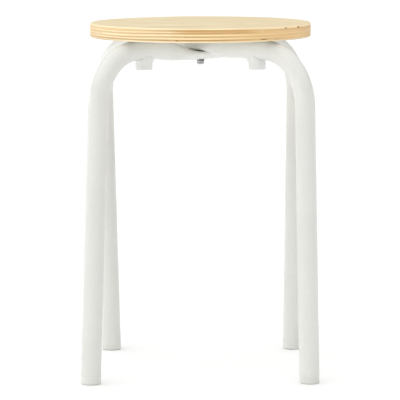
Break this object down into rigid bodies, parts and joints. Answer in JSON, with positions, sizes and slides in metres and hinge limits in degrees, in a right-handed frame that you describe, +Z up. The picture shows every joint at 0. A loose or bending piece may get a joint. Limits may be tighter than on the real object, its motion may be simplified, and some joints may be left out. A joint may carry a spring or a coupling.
{
  "type": "stacking stool",
  "caption": "Low backless stool: round plywood seat on bent white tube legs that cross under the seat, with posts beneath it for stacking.",
  "frame": {"origin": "on the floor, on the seat's axis", "axes": "+Z up; -Y towards the front of the picture; +X to its right"},
  "size_m": [0.3023, 0.2895, 0.45],
  "materials": {
    "plywood": "clear matt lacquer, edge plies showing",
    "powder_coat": "smooth semi-gloss powder coat",
    "cap_plastic": "moulded, fine satin",
    "bumper_plastic": "moulded, matt",
    "zinc": "zinc plated",
    "insert_brass": "turned"
  },
  "bodies": {
    "root": {"seat_panel": "plywood", "leg_tube_lower": "powder_coat", "leg_tube_upper": "powder_coat", "foot_cap_front_left": "cap_plastic", "foot_cap_front_right": "cap_plastic", "foot_cap_rear_left": "cap_plastic", "foot_cap_rear_right": "cap_plastic", "stack_bumper_front_left": "bumper_plastic", "stack_bumper_front_right": "bumper_plastic", "stack_bumper_rear_left": "bumper_plastic", "stack_bumper_rear_right": "bumper_plastic", "seat_screw_front_left": "zinc", "seat_screw_front_right": "zinc", "seat_screw_rear_left": "zinc", "seat_screw_rear_right": "zinc", "seat_insert_front_left": "insert_brass", "seat_insert_front_right": "insert_brass", "seat_insert_rear_left": "insert_brass", "seat_insert_rear_right": "insert_brass", "centre_screw": "zinc", "centre_spring_washer": "zinc", "centre_flat_washer": "zinc", "centre_insert": "insert_brass"}
  },
  "joints": []
}
